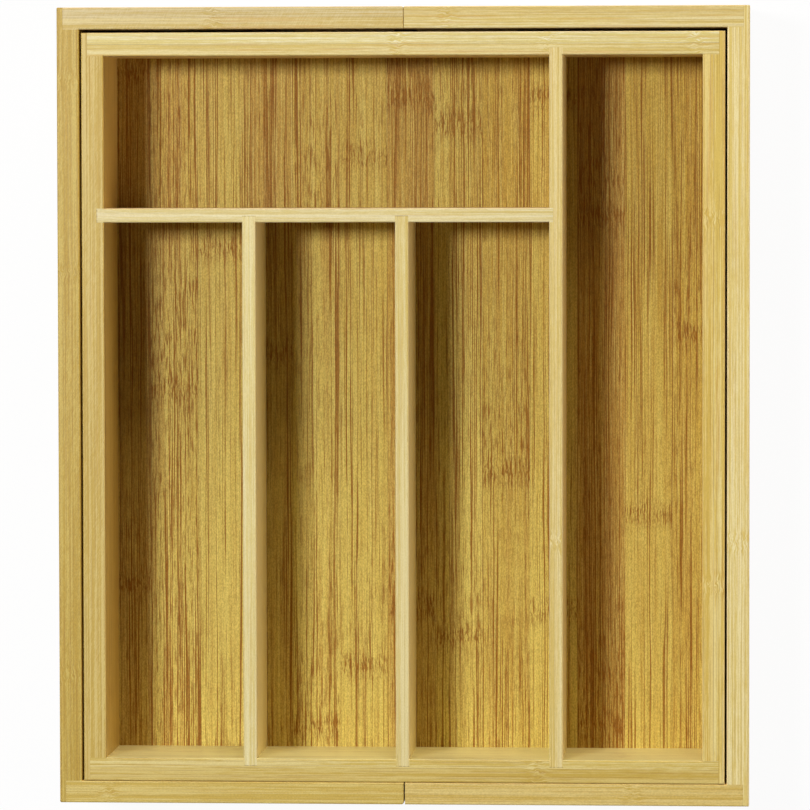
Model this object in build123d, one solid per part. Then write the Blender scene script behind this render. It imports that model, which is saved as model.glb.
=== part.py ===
from build123d import *
import os

# An expandable cutlery tray of bamboo: an inner tray with five compartments, between two
# U-shaped extensions that slide out from under it, one to the left and one to the right.
# Millimetres. +X is to the right, +Y to the back and +Z up. The origin is the middle of the
# closed tray's footprint, on the surface that it stands on.

LEFT = -1
RIGHT = 1
SIDES = {"left": LEFT, "right": RIGHT}

# Closed tray, outside
overall_width = 308.0
overall_depth = 355.2
overall_height = 62.0

# Board thicknesses
side_board = 10.0
arm_board = 9.8
back_board = 10.4
front_board = 10.3
divider_board = 6.0
cross_board = 6.3
floor_board = 4.0
rounding = 0.6

# Room between the inner tray and the extensions, and where the two extensions meet
side_gap = 0.9
back_gap = 1.5
front_gap = 0.12
sliding_gap = 0.5
seam_gap = {"back_arm": 0.1, "front_arm": 0.5}
seam_x = {"back_arm": 0.9, "front_arm": 0.6}

# Corner, groove and housing joints
corner_lip = 2.7
floor_groove = 4.0
extension_floor_height = 2.0
tray_floor_height = 1.5
wall_housing = 3.3
cross_housing = 3.0
long_divider_housing = 1.8
floor_free_edge = 3.0
left_arm_corner = 1.2

# Centre lines of the dividers
long_divider_x = 68.3
short_divider_x = {"short_divider_left": -68.35, "short_divider_right": -0.2}
cross_divider_y = 85.05

# Runner strips on the arms, and the stopped grooves that they slide in
travel = 85.0
runner_start = 5.0
runner_length = 45.0
runner_height = 6.0
runner_middle_z = 33.0
runner_housing = 4.0
runner_reach = 4.5
runner_play = 0.4
runner_groove = 5.2

# Faces that follow from the sizes above
half_width = overall_width / 2
half_depth = overall_depth / 2
side_wall_x = half_width - side_board
arm_y = half_depth - arm_board
tray_outer_x = side_wall_x - side_gap
tray_inner_x = tray_outer_x - side_board
tray_back_y = arm_y - back_gap
tray_front_y = -(arm_y - front_gap)
inner_back_y = tray_back_y - back_board
inner_front_y = tray_front_y + front_board
tray_bottom = extension_floor_height + floor_board + sliding_gap
tray_floor_bottom = tray_bottom + tray_floor_height
tray_floor_top = tray_floor_bottom + floor_board

extension_height = (0, overall_height)
tray_height = (tray_bottom, overall_height)
above_floor = (tray_floor_top, overall_height)
runner_z = (runner_middle_z - runner_height / 2, runner_middle_z + runner_height / 2)


def block(x, y, z):
    """A square-edged block between two X planes, two Y planes and two Z planes."""
    spans = (x, y, z)
    sizes = [high - low for low, high in spans]
    middles = [(high + low) / 2 for low, high in spans]
    return Pos(*middles) * Box(*sizes)


def rounded(piece, direction):
    """The piece with its edges along the given direction rounded."""
    return fillet(piece.edges().filter_by(direction), rounding)


def glued(boards, bottom):
    """The boards as one frame, its long edges rounded at the top and bottom after gluing."""
    frame = boards[0] + boards[1:]
    long_edges = frame.edges().filter_by(lambda edge: edge.length > 2 * side_board)
    rims = ShapeList()
    for height in (bottom, overall_height):
        rims += long_edges.filter_by_position(Axis.Z, height, height)
    return fillet(rims, rounding)


def about(middle, width):
    """A span of the given width about its middle."""
    return (middle - width / 2, middle + width / 2)


def less(board, cuts):
    """The board with each of the cuts taken out of it."""
    for cut in cuts:
        board -= cut
    return board


def across(side, inner, outer):
    """A span along X, given by its distances from the middle plane, on one side of it."""
    return tuple(sorted((side * inner, side * outer)))


# Square blocks that fill each board's outline. A board is what its block holds of the rounded
# frame, less the blocks of the boards that are let into it.

def tray_blocks():
    """The inner tray's boards by name."""
    wall_ends_x = tray_outer_x - corner_lip
    long_divider = about(long_divider_x, divider_board)
    cross_divider = about(cross_divider_y, cross_board)
    blocks = {
        "tray_left_wall": block((-tray_outer_x, -tray_inner_x), (tray_front_y, tray_back_y), tray_height),
        "tray_right_wall": block((tray_inner_x, tray_outer_x), (tray_front_y, tray_back_y), tray_height),
        "tray_back_wall": block((-wall_ends_x, wall_ends_x), (inner_back_y, tray_back_y), tray_height),
        "tray_front_wall": block((-wall_ends_x, wall_ends_x), (tray_front_y, inner_front_y), tray_height),
        "tray_floor": block(
            (-tray_inner_x - floor_groove, tray_inner_x + floor_groove),
            (inner_front_y - floor_groove, inner_back_y + floor_groove),
            (tray_floor_bottom, tray_floor_top),
        ),
        "long_divider": block(
            long_divider, (inner_front_y - wall_housing, inner_back_y + wall_housing), above_floor
        ),
        "cross_divider": block(
            (-tray_inner_x - wall_housing, long_divider[0] + long_divider_housing),
            cross_divider,
            above_floor,
        ),
    }
    for name, middle in short_divider_x.items():
        blocks[name] = block(
            about(middle, divider_board),
            (inner_front_y - wall_housing, cross_divider[0] + cross_housing),
            above_floor,
        )
    return blocks


def extension_blocks(side):
    """The boards of one extension by their names without the side."""
    arm_x = {
        arm: across(side, gap / 2 + side * seam_x[arm], half_width - corner_lip)
        for arm, gap in seam_gap.items()
    }
    floor_y = arm_y + floor_groove
    runner_x = across(side, runner_start, runner_start + runner_length)
    return {
        "side_wall": block(across(side, side_wall_x, half_width), (-half_depth, half_depth), extension_height),
        "back_arm": block(arm_x["back_arm"], (arm_y, half_depth), extension_height),
        "front_arm": block(arm_x["front_arm"], (-half_depth, -arm_y), extension_height),
        "floor": block(
            across(side, floor_free_edge, side_wall_x + floor_groove),
            (-floor_y, floor_y),
            (extension_floor_height, extension_floor_height + floor_board),
        ),
        "back_runner": block(runner_x, (arm_y - runner_reach, arm_y + runner_housing), runner_z),
        "front_runner": block(runner_x, (-arm_y - runner_housing, -arm_y + runner_reach), runner_z),
    }


def runner_grooves(face_y, depth):
    """Two stopped grooves in the outside of a tray wall, one for each extension's runner."""
    stop = runner_start + runner_length + travel
    height = about(runner_middle_z, runner_height + 2 * runner_play)
    return [
        block(across(side, runner_start - runner_play, stop + runner_play), about(face_y, 2 * depth), height)
        for side in SIDES.values()
    ]


def inner_tray():
    """The inner tray: four walls, a floor let into them, and four dividers let into the walls."""
    square = tray_blocks()
    floor = square.pop("tray_floor")
    frame = glued(list(square.values()), tray_bottom)
    back, front = square["tray_back_wall"], square["tray_front_wall"]
    cross, long = square["cross_divider"], square["long_divider"]
    shorts = [square[name] for name in short_divider_x]
    let_in = {
        "tray_left_wall": [back, front, floor, cross],
        "tray_right_wall": [back, front, floor],
        "tray_back_wall": [floor, long, *runner_grooves(tray_back_y, runner_groove)],
        "tray_front_wall": [floor, long, *shorts, *runner_grooves(tray_front_y, runner_groove)],
        "long_divider": [cross],
        "cross_divider": shorts,
    }
    pieces = {"tray_floor": floor}
    for name, board in square.items():
        pieces[name] = less(frame & board, let_in.get(name, []))
    return pieces


def extension_arm(arm, side, outer_end):
    """An arm's block. The left one has its free outer corner rounded."""
    if side == RIGHT:
        return arm
    free_edges = arm.edges().filter_by(Axis.Z).group_by(Axis.X)[-1]
    return fillet(free_edges.sort_by(Axis.Y)[outer_end], left_arm_corner)


def extension(name, side):
    """One U-shaped extension: a side wall, two arms, a floor and two runners."""
    square = extension_blocks(side)
    wall, floor = square["side_wall"], square["floor"]
    back, front = square["back_arm"], square["front_arm"]
    outer_corners = wall.edges().filter_by(Axis.Z).sort_by(Axis.X)[::side][-2:]
    boards = [fillet(outer_corners, rounding), extension_arm(back, side, -1), extension_arm(front, side, 0)]
    frame = glued(boards, 0)
    pieces = {
        "side_wall": less(frame & wall, [back, front, floor]),
        "back_arm": less(frame & back, [floor, square["back_runner"]]),
        "front_arm": less(frame & front, [floor, square["front_runner"]]),
        "floor": floor,
        "back_runner": rounded(square["back_runner"], Axis.X),
        "front_runner": rounded(square["front_runner"], Axis.X),
    }
    return {f"{name}_{piece}": solid for piece, solid in pieces.items()}


def whole_tray():
    """Every piece by name, in its place with both extensions pushed in."""
    pieces = inner_tray()
    for name, side in SIDES.items():
        pieces.update(extension(name, side))
    return pieces


os.makedirs("parts", exist_ok=True)
for node, solid in whole_tray().items():
    export_step(solid, f"parts/{node}.step")
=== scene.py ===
# The looks of the expandable bamboo cutlery tray: lacquered bamboo boards and slatted floors,
# seen from above under one soft lamp and two windows. Metres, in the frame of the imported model.

import math

import bpy
from mathutils import Matrix, Vector


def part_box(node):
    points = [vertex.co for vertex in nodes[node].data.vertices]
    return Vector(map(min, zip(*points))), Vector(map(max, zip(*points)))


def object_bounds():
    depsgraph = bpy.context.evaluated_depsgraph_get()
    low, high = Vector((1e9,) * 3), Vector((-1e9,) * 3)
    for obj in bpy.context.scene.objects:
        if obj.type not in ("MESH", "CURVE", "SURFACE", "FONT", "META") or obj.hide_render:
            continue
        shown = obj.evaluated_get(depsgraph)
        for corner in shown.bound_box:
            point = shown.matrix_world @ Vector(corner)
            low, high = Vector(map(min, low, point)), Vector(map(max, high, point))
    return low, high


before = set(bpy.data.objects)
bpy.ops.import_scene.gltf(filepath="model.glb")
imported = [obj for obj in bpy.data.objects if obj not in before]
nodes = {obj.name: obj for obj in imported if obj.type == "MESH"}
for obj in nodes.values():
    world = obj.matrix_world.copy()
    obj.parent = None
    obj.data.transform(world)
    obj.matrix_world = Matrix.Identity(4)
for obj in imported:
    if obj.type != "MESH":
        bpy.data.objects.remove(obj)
cad_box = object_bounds()

# Millimetres in a metre
MILLIMETRES = 1000.0

# The Mix node's colour sockets by number, because its other sockets have the same names
FIRST_COLOUR = 6
SECOND_COLOUR = 7
MIXED_COLOUR = 2


# Shader nodes, written as sums

class Wire:
    """One output of a node in a finish, which takes part in sums."""

    def __init__(self, finish, socket):
        self.finish = finish
        self.socket = socket

    def sum(self, operation, first, second):
        return self.finish.node("Math", {"operation": operation}, {0: first, 1: second})

    def __add__(self, other):
        return self.sum("ADD", self, other)

    def __radd__(self, other):
        return self.sum("ADD", other, self)

    def __sub__(self, other):
        return self.sum("SUBTRACT", self, other)

    def __rsub__(self, other):
        return self.sum("SUBTRACT", other, self)

    def __mul__(self, other):
        return self.sum("MULTIPLY", self, other)

    def __rmul__(self, other):
        return self.sum("MULTIPLY", other, self)

    def __truediv__(self, other):
        return self.sum("DIVIDE", self, other)

    def __abs__(self):
        return self.sum("ABSOLUTE", self, 0.0)

    def floor(self):
        return self.sum("FLOOR", self, 0.0)

    def rise(self, low, high, bottom=0.0, top=1.0):
        """A smooth step from bottom to top as this value goes from low to high."""
        settings = {"interpolation_type": "SMOOTHSTEP"}
        limits = {"Value": self, "From Min": low, "From Max": high, "To Min": bottom, "To Max": top}
        return self.finish.node("MapRange", settings, limits)

    def bell(self, middle, width):
        """1 where this value is at middle, falling smoothly to 0 at width on either side."""
        return abs(self - middle).rise(0.0, width, 1.0, 0.0)


class Finish:
    """A material with its principled shader, and the nodes that feed it."""

    def __init__(self, name):
        self.material = bpy.data.materials.new(name)
        self.material.use_nodes = True
        self.tree = self.material.node_tree
        self.shader = self.tree.nodes["Principled BSDF"]

    def node(self, kind, settings=None, inputs=None, output=0):
        """Adds a node, sets its settings, then its inputs by number or name, and gives one output."""
        made = self.tree.nodes.new("ShaderNode" + kind)
        for setting, value in (settings or {}).items():
            if setting == "stops":
                self.set_stops(made.color_ramp, value)
            else:
                setattr(made, setting, value)
        for key, value in (inputs or {}).items():
            self.feed(made.inputs[key], value)
        return Wire(self, made.outputs[output])

    def set_stops(self, ramp, stops):
        while len(ramp.elements) < len(stops):
            ramp.elements.new(1.0)
        for element, (position, colour) in zip(ramp.elements, stops):
            element.position = position
            element.color = (*colour, 1.0)

    def feed(self, socket, value):
        if isinstance(value, Wire):
            self.tree.links.new(value.socket, socket)
        else:
            socket.default_value = value

    def set(self, name, value):
        self.feed(self.shader.inputs[name], value)

    def coordinates(self, kind):
        """The three parts of one of the surface's coordinates, such as its place or which way it faces."""
        place = self.node("TexCoord", output=kind)
        parts = self.node("SeparateXYZ", inputs={"Vector": place}).socket.node.outputs
        return [Wire(self, part) for part in parts]

    def vector(self, x, y, z):
        return self.node("CombineXYZ", inputs={"X": x, "Y": y, "Z": z})

    def noise(self, x, y, z, detail):
        """Smooth noise from 0 to 1, one unit of x, y and z to a lump."""
        inputs = {"Vector": self.vector(x, y, z), "Scale": 1.0, "Detail": detail}
        return self.node("TexNoise", inputs=inputs)

    def mix(self, share, first, second, blend="MIX"):
        """Two colours mixed by share, from the first to the second."""
        settings = {"data_type": "RGBA", "blend_type": blend}
        inputs = {"Factor": share, FIRST_COLOUR: first, SECOND_COLOUR: second}
        return self.node("Mix", settings, inputs, MIXED_COLOUR)

    def by_step(self, number, values):
        """The value in the list whose place is the whole number carried by a wire."""
        count = len(values)
        stops = [(place / count, (value, value, value)) for place, value in enumerate(values)]
        ramp = self.node("ValToRGB", {"stops": stops}, {0: (number + 0.5) / count})
        ramp.socket.node.color_ramp.interpolation = "CONSTANT"
        return ramp


def paint(red, green, blue):
    """A colour as a screen shows it, 0 to 255, in the linear values that a shader takes."""
    def linear(level):
        share = level / 255.0
        return share / 12.92 if share <= 0.04045 else ((share + 0.055) / 1.055) ** 2.4
    return (linear(red), linear(green), linear(blue), 1.0)


# Bamboo, measured in millimetres

SLAT_WIDTH = 21.57
STRIP_HEIGHT = 20.7
KNUCKLE_SPACING = 232.0

# How far a knuckle swells the grain along a slat, and along the edge grain of a rim
SLAT_SWELL = 10.0
RIM_SWELL = 8.0

# Half the part of a slat's width that is clear of its glued edges, as a share of the width
CLEAR_OF_GLUE = 0.488

# A cut fibre's speck, and the middle and the outside of one dark strand
SPECK_LENGTH = 0.8
SPECK_WIDTH = 0.38
STRAND_CORE = 0.10
STRAND_EDGE = 0.36

# How far from the middle the floor's painted shade goes on deepening its tone towards the back
BACK_SHADE_REACH = 170.0

# The way that sanding strokes run over the corners, and their length and width
SANDING_X = 0.45
SANDING_Y = 0.89
SANDING_LENGTH = 3.5
SANDING_WIDTH = 0.35

# How deep the fibres stand in the surface, in metres
FIBRE_RELIEF = 0.0004

FLOOR_GOLD = paint(207, 187, 93)
FLOOR_TAN = paint(185, 151, 57)
FLOOR_PALE = paint(221, 203, 114)
BAND_BROWN = paint(168, 121, 45)
# Red-brown that is partly a slat's own tone and partly painted shade on the slats in the walls' shade
SHADE_STRIP_RED = paint(150, 92, 44)
FIBRE_BROWN = paint(134, 84, 12)
SEAM_BROWN = paint(104, 66, 28)
STAIN_ORANGE = paint(206, 158, 72)
END_PALE = paint(205, 178, 112)
END_BROWN = paint(150, 112, 60)

# What pale and dark grain, and the fine specks of cut fibres, multiply a board's colour by, and
# what its sides multiply its rim's colour by where they have no colour of their own
PALE_SHIFT = (1.08, 1.13, 1.40, 1.0)
DARK_SHIFT = (0.88, 0.81, 0.52, 1.0)
PALE_SPECK = (1.17, 1.18, 1.24, 1.0)
DARK_SPECK = (0.83, 0.82, 0.76, 1.0)
SIDE_SHIFT = (1.14, 1.08, 1.30, 1.0)

# How squarely a surface faces along an axis before it starts to count as an end or a side, and
# when it fully does
FACING = (0.5, 0.9)


class Grain:
    """Millimetre coordinates along a board's grain, across it and up, and whether it is an end or a side."""

    def __init__(self, finish, along):
        x, y, z = (place * MILLIMETRES for place in finish.coordinates("Object"))
        faces_x, faces_y = (abs(facing) for facing in finish.coordinates("Normal")[:2])
        self.x, self.y = x, y
        self.along, self.across, self.up = (x, y, z) if along == "X" else (y, x, z)
        end_facing, side_facing = (faces_x, faces_y) if along == "X" else (faces_y, faces_x)
        self.on_end = end_facing.rise(*FACING)
        self.on_side = side_facing.rise(*FACING)


def speckled(finish, grain, seed, colour, strength):
    """The colour with the fine pale and dark specks of cut fibres."""
    across, up = grain.across / SPECK_WIDTH, grain.up / SPECK_WIDTH
    specks = finish.noise(grain.along / SPECK_LENGTH, across, up + seed, 1.0)
    tone = finish.mix(specks.rise(0.3, 0.7), DARK_SPECK, PALE_SPECK)
    return finish.mix(strength, colour, tone, "MULTIPLY")


def streaks(finish, along, across, depth, size, limits):
    """Streaks of a length and width in millimetres, from 0 between them to 1 on them."""
    length, width = size
    return finish.noise(along / length, across / width, depth, 1.0).rise(*limits)


def strands(finish, along, across, shift, spacing, run):
    """Long straight strands side by side, each of its own strength and coming and going along the grain."""
    steps = across / spacing
    number = steps.floor()
    jitter = (finish.noise(number * 2.7, shift, 0.0, 0.0) - 0.5) * 0.9
    off_middle = abs(steps - number - 0.5 - jitter) * spacing
    strength = finish.noise(along / run, number * 3.3, shift, 1.0).rise(0.36, 0.62)
    return off_middle.rise(STRAND_CORE, STRAND_EDGE, 1.0, 0.0) * strength


def from_knuckle(along, knuckle):
    """How far a place along the grain is from the nearest of the knuckles, evenly spaced."""
    turns = (along - knuckle) / KNUCKLE_SPACING + 0.5
    return (turns - turns.floor() - 0.5) * KNUCKLE_SPACING


def glued_edge(steps):
    """1 on the thin line of glue between slats or strips, whose edges are at whole steps."""
    return abs(steps - steps.floor() - 0.5).rise(CLEAR_OF_GLUE, 0.5)


def slat_brown(finish, along, across, number, dense, knuckle):
    """How brown a flat-sawn slat is: lines in crowded bands, and dashes at and beyond each knuckle."""
    past = from_knuckle(along, knuckle)
    near = past.bell(0.0, SLAT_SWELL)
    beyond = past.rise(-3.0, 2.0) * past.rise(15.0, 75.0, 1.0, 0.0)
    sway = finish.noise(along / 75.0, across / 9.0, number * 7.3, 1.0) - 0.5
    ripple = finish.noise(along / 4.0, across / 2.4, number * 5.1, 1.0) - 0.5
    place = across + 1.6 * sway + 0.8 * ripple * near
    crowd = streaks(finish, along, place, number * 2.3 + 8.0, (150.0, 3.6), (0.40, 0.58))
    long_strands = strands(finish, along, place, number * 3.7, 2.3, 60.0)
    fine_lines = streaks(finish, along, place, number * 4.9 + 3.0, (90.0, 0.55), (0.47, 0.63))
    short_lines = streaks(finish, along, place, number * 6.1 + 1.0, (8.0, 0.60), (0.46, 0.66))
    dots = streaks(finish, along, place, number * 9.1 + 2.0, (2.8, 0.70), (0.50, 0.66))
    lines = long_strands * (0.40 + 0.25 * crowd) + fine_lines * (0.26 + 0.72 * crowd)
    dashes = short_lines * (0.16 + 0.40 * dense + (0.05 + 0.35 * dense) * beyond + 0.25 * near)
    return lines * (0.80 + 0.30 * dense) + dashes + dots * near * 0.50 + near * 0.08


def sunken(finish, depth, strength):
    """The surface with its fibres sunk into it, most where depth is highest."""
    inputs = {"Strength": strength, "Distance": FIBRE_RELIEF, "Height": 0.0 - depth}
    return finish.node("Bump", inputs=inputs)


def floor_finish(name, first_edge, slats, seed):
    """A panel of slats glued edge to edge along Y, its tone deepened towards the back as painted shade. Each
    slat has (dashes, tan, red, knuckle place); the red is partly the slat's own tone and partly painted
    shade.
    """
    finish = Finish(name)
    grain = Grain(finish, "Y")
    steps = (grain.across - first_edge) / SLAT_WIDTH
    number = steps.floor()
    dense, tan, red, knuckle = (finish.by_step(number, values) for values in zip(*slats))
    brown = slat_brown(finish, grain.along, grain.across, number + seed, dense, knuckle * KNUCKLE_SPACING)
    cloud = finish.noise(grain.along / 70.0, grain.across / 5.0, seed, 2.0).rise(0.3, 0.7)
    blotch = finish.noise(grain.along / 17.0, grain.across / 3.0, seed + 5.0, 1.0) - 0.5
    # Painted shade: the floor's tone is deepened towards the back
    painted_back_shade = grain.along.rise(-BACK_SHADE_REACH, BACK_SHADE_REACH)
    bands = streaks(finish, grain.along, grain.across, seed + number * 2.3, (160.0, 2.6), (0.46, 0.64))
    pale = streaks(finish, grain.along, grain.across, seed + number * 1.9, (70.0, 0.55), (0.50, 0.64))
    toned = tan + 0.30 * cloud + 0.3 * blotch + 0.62 * painted_back_shade - 0.17
    colour = finish.mix(toned.rise(-0.1, 1.3), FLOOR_GOLD, FLOOR_TAN)
    colour = finish.mix(bands * (0.15 + 0.28 * dense), colour, BAND_BROWN)
    # Partly the slat's own tone, partly painted shade: red-brown on the slats in the walls' shaded strips
    colour = finish.mix(red, colour, SHADE_STRIP_RED)
    colour = finish.mix(pale * 0.35, colour, FLOOR_PALE)
    colour = finish.mix(brown.rise(-0.03, 1.10, 0.0, 0.95), colour, FIBRE_BROWN)
    colour = finish.mix(glued_edge(steps) * 0.35, colour, SEAM_BROWN)
    finish.set("Base Color", speckled(finish, grain, seed, colour, 1.0))
    finish.set("Roughness", 0.42 + 0.12 * brown)
    finish.set("Specular IOR Level", 0.16)
    finish.set("Normal", sunken(finish, brown, 0.12))
    return finish.material


def rim_grey(finish, grain, across, near, board):
    """How dark the edge grain on a board's rim is, from 0 to 1 about one half."""
    seed = board["seed"]
    lines = finish.noise(grain.along / 90.0, across / 0.42, grain.up / 0.42 + seed, 2.0)
    bands = finish.noise(grain.along / 220.0, across / 1.9, grain.up / 1.9 + seed * 2.0, 1.0)
    flecks = finish.noise(grain.along / 6.0, across / 0.45, grain.up / 0.45 + seed * 3.0, 1.0)
    along_strokes = (grain.x * SANDING_X + grain.y * SANDING_Y) / SANDING_LENGTH
    across_strokes = (grain.x * SANDING_Y - grain.y * SANDING_X) / SANDING_WIDTH
    sanding = finish.noise(along_strokes, across_strokes, seed, 1.0) - 0.5
    mottle = (flecks - 0.48) * near * 0.7
    return lines * 0.42 + bands * 0.38 + flecks * 0.20 + mottle + sanding * board["sanding"]


def rim_colour(finish, grain, across, near, board, middle):
    """A board's top edge: its two plies with their grain, stains, dark hairs and glue line."""
    seed = board["seed"]
    grey = rim_grey(finish, grain, across, near, board)
    ply = finish.mix((grain.across - middle).rise(-0.1, 0.1), board["low_ply"], board["high_ply"])
    pale = finish.mix(1.0, ply, PALE_SHIFT, "MULTIPLY")
    dark = finish.mix(1.0, ply, DARK_SHIFT, "MULTIPLY")
    reach = 0.1 / board["figure"]
    rim = finish.mix(grey.rise(0.5 - reach, 0.5 + reach), pale, dark)
    stain = streaks(finish, grain.along, across, seed * 5.0, (60.0, 1.3), (0.56, 0.70))
    rim = finish.mix(stain * board["stain"], rim, STAIN_ORANGE)
    hairs = strands(finish, grain.along, across, seed, 1.4, 34.0)
    rim = finish.mix(hairs * 0.18 * board["figure"], rim, FIBRE_BROWN)
    glue = (grain.across - middle).bell(0.0, 0.22)
    return finish.mix(glue * board["glue_line"], rim, SEAM_BROWN), grey


def side_colour(finish, grain, board, middle):
    """A board's broad side: flat-sawn strips glued edge to edge, one above another."""
    seed = board["seed"]
    strips = (grain.up + seed) / STRIP_HEIGHT
    number = strips.floor() + seed
    dense = finish.noise(number * 1.7, seed, 0.0, 0.0)
    knuckle = finish.noise(number * 3.1, seed + 4.0, 0.0, 0.0) * (KNUCKLE_SPACING * 3.0)
    brown = slat_brown(finish, grain.along, grain.up, number, dense, knuckle) * board["side_grain"]
    side = finish.mix((grain.across - middle).rise(-0.1, 0.1), board["low_side"], board["high_side"])
    side = finish.mix(brown.rise(0.0, 1.0, 0.0, 0.9), side, FIBRE_BROWN)
    return finish.mix(glued_edge(strips) * 0.30, side, SEAM_BROWN)


def end_line(finish, grain, place, strength):
    """The thin line of shade and glue where a board's end meets the board that it is let into."""
    dots = finish.noise(grain.across / 0.8, place, 0.0, 1.0).rise(0.35, 0.60, 0.3, 1.0)
    return abs(grain.along - place).rise(0.05, 0.45, strength, 0.0) * dots


def board_finish(name, along, board, middle, ends):
    """A lacquered board: edge grain on its rims, flat-sawn strips on its sides, pores on its ends."""
    finish = Finish(name)
    grain = Grain(finish, along)
    seed = board["seed"]
    near = 0.0
    for place in board["knuckles"]:
        near = grain.along.bell(place, RIM_SWELL) + near
    ripple = finish.noise(grain.along / 3.2, grain.across / 2.0, grain.up / 2.0 + seed, 1.0) - 0.5
    across = grain.across + ripple * near * 3.0
    rim, grey = rim_colour(finish, grain, across, near, board, middle)
    pores = finish.noise(grain.across / 0.5, grain.up / 0.5, seed, 1.0).rise(0.45, 0.7)
    end = finish.mix(pores, END_PALE, END_BROWN)
    colour = finish.mix(grain.on_side, rim, side_colour(finish, grain, board, middle))
    colour = finish.mix(grain.on_end, colour, end)
    for place, strength in zip(ends, board["end_lines"]):
        if strength > 0.0:
            colour = finish.mix(end_line(finish, grain, place, strength), colour, SEAM_BROWN)
    finish.set("Base Color", speckled(finish, grain, seed, colour, board["specks"]))
    finish.set("Roughness", 0.36 + 0.14 * grey)
    finish.set("Specular IOR Level", 0.3)
    finish.set("Coat Weight", 0.1)
    finish.set("Coat Roughness", 0.15)
    finish.set("Normal", sunken(finish, grey, 0.15))
    return finish.material


# Each board's own look. Low is its left or front, and high its right or back. The split is where
# its two plies meet, as a share of its thickness. Knuckles are places along it, the end lines are
# the strengths of the lines at its two ends, and the rest say how strong each mark on it is.

def look(seed, low_ply, high_ply=None, side=None, **others):
    """A board's ply and side colours, and what makes it differ from a plain one."""
    low = paint(*low_ply)
    both_sides = paint(*side) if side else tuple(level * shift for level, shift in zip(low, SIDE_SHIFT))
    board = {
        "seed": seed,
        "low_ply": low,
        "high_ply": paint(*(high_ply or low_ply)),
        "low_side": both_sides,
        "high_side": both_sides,
        "side_grain": 0.4,
        "specks": 0.25,
        "split": 0.5,
        "glue_line": 0.0,
        "knuckles": (),
        "sanding": 0.0,
        "figure": 1.0,
        "stain": 0.12,
        "end_lines": (0.12, 0.12),
    }
    return board | others


DIVIDER_SIDE = (246, 230, 175)
LOOKS_ALONG_X = {
    "left_back_arm": look(
        3.7, (209, 188, 118), (204, 185, 124), knuckles=(-84.0,), sanding=0.18, stain=0.35,
        end_lines=(0.2, 0.0),
    ),
    "right_back_arm": look(
        4.2, (220, 203, 136), (213, 193, 122), knuckles=(20.0,), stain=0.3, end_lines=(0.0, 0.15)
    ),
    "left_front_arm": look(5.9, (211, 188, 102), knuckles=(-132.0,), specks=0.5, end_lines=(0.2, 0.0)),
    "right_front_arm": look(6.4, (213, 188, 106), knuckles=(102.0,), specks=0.5, end_lines=(0.0, 0.15)),
    "tray_back_wall": look(
        9.1, (218, 200, 129), (229, 219, 163), glue_line=0.45, knuckles=(130.0, 65.0, -2.0), stain=0.4
    ),
    "tray_front_wall": look(
        10.6, (207, 183, 98), (217, 197, 118), high_side=paint(230, 225, 163), split=0.6,
        knuckles=(60.0,), figure=1.6,
    ),
    "cross_divider": look(11.2, (224, 211, 154), figure=0.7, end_lines=(0.7, 0.08)),
}
LOOKS_ALONG_Y = {
    "left_side_wall": look(
        1.3, (194, 167, 72), knuckles=(145.0, 60.0, -120.0), sanding=0.18, figure=1.6, specks=0.5
    ),
    "right_side_wall": look(2.1, (230, 213, 144), knuckles=(-60.0,), figure=1.1),
    "tray_left_wall": look(7.7, (204, 179, 95), sanding=0.18, figure=1.3),
    "tray_right_wall": look(
        8.3, (221, 196, 110), (226, 205, 123), glue_line=0.3, knuckles=(84.0, -79.0), figure=1.6, stain=0.35
    ),
    "short_divider_left": look(
        12.5, (227, 213, 149), side=DIVIDER_SIDE, side_grain=0.2, figure=0.6, end_lines=(0.7, 0.6)
    ),
    "short_divider_right": look(
        13.8, (221, 204, 135), side=DIVIDER_SIDE, side_grain=0.2, figure=0.8, end_lines=(0.7, 0.8)
    ),
    "long_divider": look(
        14.4, (224, 205, 135), side=DIVIDER_SIDE, side_grain=0.2, knuckles=(-60.0,), figure=0.9,
        end_lines=(0.7, 0.15),
    ),
}
RUNNER_LOOK = look(15.5, (206, 180, 112))

# The tray floor's slats from left to right: short dashes, tan tone, red tone (partly painted shade on
# slats in the walls' shaded strips), and where a knuckle is as a share of the spacing between knuckles
TRAY_SLATS = [
    (0.5, 0.3, 0.30, 0.64),
    (0.9, 0.3, 0.00, 0.02),
    (0.1, 0.1, 0.00, 0.30),
    (0.5, 0.3, 0.18, 0.09),
    (0.5, 0.2, 0.00, 0.36),
    (0.2, 0.2, 0.00, 0.48),
    (0.6, 0.5, 0.20, 0.59),
    (0.4, 0.1, 0.00, 0.54),
    (0.6, 0.5, 0.03, 0.86),
    (0.2, 0.2, 0.00, 0.59),
    (0.8, 0.6, 0.30, 0.36),
    (0.1, 0.4, 0.00, 0.78),
    (0.5, 0.6, 0.00, 0.13),
]

# How much of the tray floor's first slat is cut off
FIRST_SLAT_TRIM = 2.4

# Which of the tray's slats each extension's floor starts with, and how many more it has
EXTENSION_FLOOR_STARTS = {"left_floor": 3, "right_floor": 6}
EXTRA_SLATS = 2

TRAY_FLOOR_SEED = 1.0
EXTENSION_FLOOR_SEED = 20.0


def dress(node, material):
    nodes[node].material_slots[0].material = material


def dress_board(node, along, board):
    low, high = (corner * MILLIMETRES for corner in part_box(node))
    length, thickness = "XY".index(along), "YX".index(along)
    middle = low[thickness] + (high[thickness] - low[thickness]) * board["split"]
    dress(node, board_finish(node + "_bamboo", along, board, middle, (low[length], high[length])))


def dress_boards():
    for node, board in LOOKS_ALONG_X.items():
        dress_board(node, "X", board)
    for node, board in LOOKS_ALONG_Y.items():
        dress_board(node, "Y", board)
    for side in ("left", "right"):
        dress_board(f"{side}_back_runner", "X", RUNNER_LOOK)
        dress_board(f"{side}_front_runner", "X", RUNNER_LOOK)


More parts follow.
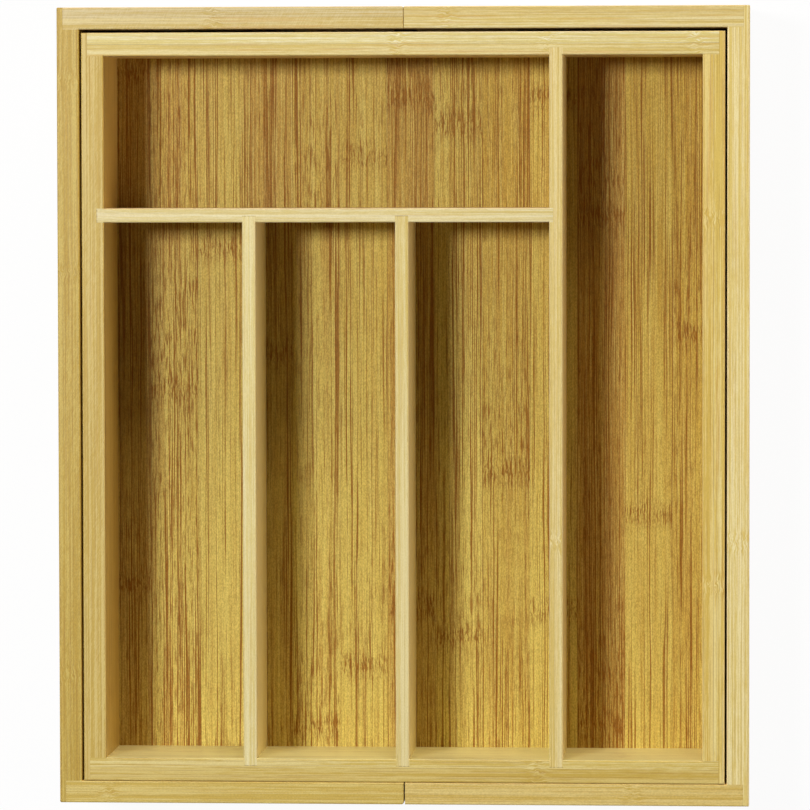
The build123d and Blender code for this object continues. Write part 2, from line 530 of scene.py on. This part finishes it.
def dress_floors():
    tray_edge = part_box("tray_floor")[0].x * MILLIMETRES - FIRST_SLAT_TRIM
    dress("tray_floor", floor_finish("tray_floor_bamboo", tray_edge, TRAY_SLATS, TRAY_FLOOR_SEED))
    extension_edge = cad_box[0].x * MILLIMETRES
    for node, start in EXTENSION_FLOOR_STARTS.items():
        slats = TRAY_SLATS[start:] + TRAY_SLATS[:start] + TRAY_SLATS[:EXTRA_SLATS]
        dress(node, floor_finish(node + "_bamboo", extension_edge, slats, EXTENSION_FLOOR_SEED + start))


# Studio

WHITE = (1.0, 1.0, 1.0)
WINDOW_WARM = (1.0, 0.84, 0.66)
ROOM_COLOUR = (1.0, 0.30, 0.45, 1.0)
ROOM_STRENGTH = 0.002
LAMP_TARGET = Vector((0.0, 0.0, 0.03))

# The camera's place and target in metres, its lens and sensor in millimetres, and how far it sees
CAMERA_PLACE = Vector((0.1523, 0.1040, 2.3463))
CAMERA_TARGET = Vector((0.00117, 0.00078, cad_box[1].z))
CAMERA_ROLL = math.radians(0.1)
CAMERA_LENS = 229.16
CAMERA_SENSOR = 36.0
CAMERA_REACH = 50.0

# The table's half width, its grey, how much of its look is a plain glow, and how softly its dark
# part under the tray ends
TABLE_REACH = 4.0
TABLE_GREY = (0.9, 0.9, 0.9, 1.0)
TABLE_GLOW = 0.95
SHADE_EDGE = 0.001
REFLECTED_RAYS = ("Is Glossy Ray", "Is Transmission Ray")


def aim(thing, place, target, up):
    """Puts a lamp or camera at place, looking at target, with up at the top."""
    back = (place - target).normalized()
    right = up.cross(back).normalized()
    turn = Matrix((right, back.cross(right), back)).transposed()
    thing.matrix_world = Matrix.Translation(place) @ turn.to_4x4()


def add_camera():
    """A long lens high over the tray, a little to the right of and behind its middle."""
    camera = bpy.data.objects.new("camera", bpy.data.cameras.new("camera"))
    bpy.context.scene.collection.objects.link(camera)
    camera.data.lens = CAMERA_LENS
    camera.data.sensor_width = CAMERA_SENSOR
    camera.data.clip_end = CAMERA_REACH
    up = Vector((math.sin(CAMERA_ROLL), math.cos(CAMERA_ROLL), 0.0))
    aim(camera, CAMERA_PLACE, CAMERA_TARGET, up)
    bpy.context.scene.camera = camera


def add_lamp(name, place, size, watts, colour, up):
    """A rectangular lamp that lights the middle of the tray and isn't seen itself."""
    lamp = bpy.data.objects.new(name, bpy.data.lights.new(name, "AREA"))
    bpy.context.scene.collection.objects.link(lamp)
    lamp.data.shape = "RECTANGLE"
    lamp.data.size, lamp.data.size_y = size
    lamp.data.energy = watts
    lamp.data.color = colour
    lamp.visible_camera = False
    aim(lamp, Vector(place), LAMP_TARGET, up)


def add_lamps():
    """A soft key lamp high at the left, and two low warm windows, one behind and one at the right."""
    upward, backward = Vector((0.0, 0.0, 1.0)), Vector((0.0, 1.0, 0.0))
    add_lamp("key", (-1.28, 0.51, 3.36), size=(0.65, 0.46), watts=92.5, colour=WHITE, up=backward)
    add_lamp(
        "back_window", (0.133, 1.897, 0.648), size=(0.8, 0.8), watts=24.5, colour=WINDOW_WARM, up=upward
    )
    add_lamp(
        "right_window", (1.820, -0.159, 0.844), size=(1.0, 1.0), watts=9.7, colour=WINDOW_WARM, up=upward
    )


def seen_or_mirrored(tree):
    """1 where the camera looks, straight or by way of gloss or glass, and 0 where only light goes."""
    path = tree.nodes.new("ShaderNodeLightPath")
    seen = path.outputs["Is Camera Ray"]
    for kind in REFLECTED_RAYS:
        larger = tree.nodes.new("ShaderNodeMath")
        larger.operation = "MAXIMUM"
        tree.links.new(seen, larger.inputs[0])
        tree.links.new(path.outputs[kind], larger.inputs[1])
        seen = larger.outputs[0]
    return seen


def beside_tray(finish):
    """0 on the table under the tray, where it is dark, and 1 beyond the inner faces of its outer boards."""
    x, y = finish.coordinates("Object")[:2]
    side_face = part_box("right_side_wall")[0].x
    arm_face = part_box("right_back_arm")[0].y
    past_side = abs(x).rise(side_face, side_face + SHADE_EDGE)
    past_arm = abs(y).rise(arm_face, arm_face + SHADE_EDGE)
    return past_side.sum("MAXIMUM", past_side, past_arm)


def add_table():
    """A white table that shows the tray's shadow softly, and is dark under the tray."""
    mesh = bpy.data.meshes.new("table")
    low, high = -TABLE_REACH, TABLE_REACH
    corners = [(low, low, 0), (high, low, 0), (high, high, 0), (low, high, 0)]
    mesh.from_pydata(corners, [], [(0, 1, 2, 3)])
    table = bpy.data.objects.new("table", mesh)
    bpy.context.scene.collection.objects.link(table)
    finish = Finish("white_table")
    finish.set("Base Color", TABLE_GREY)
    finish.set("Roughness", 0.9)
    seen = Wire(finish, seen_or_mirrored(finish.tree))
    share = seen * TABLE_GLOW * beside_tray(finish)
    glow = finish.node("Emission", inputs={"Color": (*WHITE, 1.0), "Strength": 1.0})
    body = Wire(finish, finish.shader.outputs[0])
    blend = finish.node("MixShader", inputs={0: share, 1: body, 2: glow})
    finish.tree.links.new(blend.socket, finish.tree.nodes["Material Output"].inputs["Surface"])
    mesh.materials.append(finish.material)


def add_background(tree, colour, strength):
    """A plain colour all round, at a strength."""
    background = tree.nodes.new("ShaderNodeBackground")
    background.inputs["Color"].default_value = colour
    background.inputs["Strength"].default_value = strength
    return background


def add_world():
    """Very dim warm light from all round, on a background that is seen and mirrored as white."""
    world = bpy.data.worlds.new("studio")
    bpy.context.scene.world = world
    world.use_nodes = True
    tree = world.node_tree
    tree.nodes.clear()
    room = add_background(tree, ROOM_COLOUR, ROOM_STRENGTH)
    white = add_background(tree, (*WHITE, 1.0), 1.0)
    mix = tree.nodes.new("ShaderNodeMixShader")
    out = tree.nodes.new("ShaderNodeOutputWorld")
    tree.links.new(seen_or_mirrored(tree), mix.inputs[0])
    tree.links.new(room.outputs[0], mix.inputs[1])
    tree.links.new(white.outputs[0], mix.inputs[2])
    tree.links.new(mix.outputs[0], out.inputs["Surface"])


dress_boards()
dress_floors()
add_table()
add_world()
add_lamps()
add_camera()
bpy.context.scene.view_settings.view_transform = "Standard"
